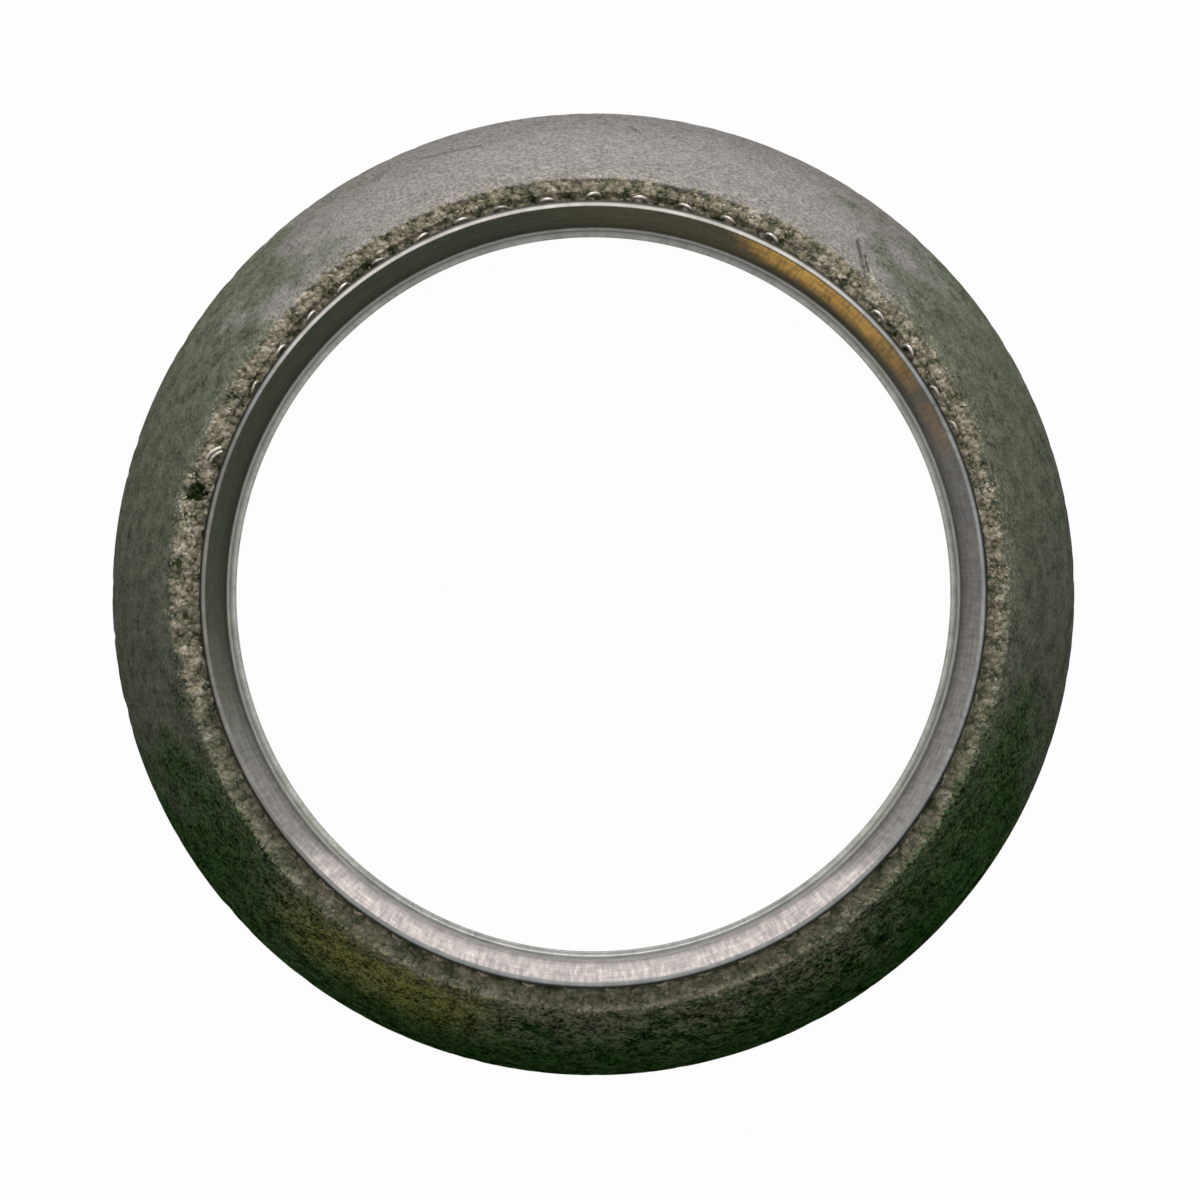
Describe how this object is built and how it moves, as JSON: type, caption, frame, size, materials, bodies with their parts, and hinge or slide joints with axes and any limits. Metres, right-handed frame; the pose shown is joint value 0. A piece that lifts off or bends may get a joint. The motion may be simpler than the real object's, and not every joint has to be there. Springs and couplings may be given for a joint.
{
  "type": "exhaust pipe flange gasket",
  "caption": "Ring gasket of pressed graphite and knitted wire with a ball-shaped sealing face, on a thin steel sleeve with a turned-in lip.",
  "frame": {"origin": "centre of the flat back face, on the ring's axis", "axes": "+Z along the ring's axis, from the flat back face towards the narrow end; +X and +Y across the ring"},
  "size_m": [0.0654, 0.0654, 0.015],
  "materials": {
    "sleeve_steel": "brushed thin sheet with a straw tint and draw lines",
    "pressed_graphite": "burnished graphite over pressed wire mesh, crumbly along the inner edge",
    "knit_wire": "drawn round wire, dulled by graphite"
  },
  "bodies": {
    "root": {"steel_sleeve": "sleeve_steel", "pressed_ring": "pressed_graphite", "wire_loops": "knit_wire"}
  },
  "joints": []
}
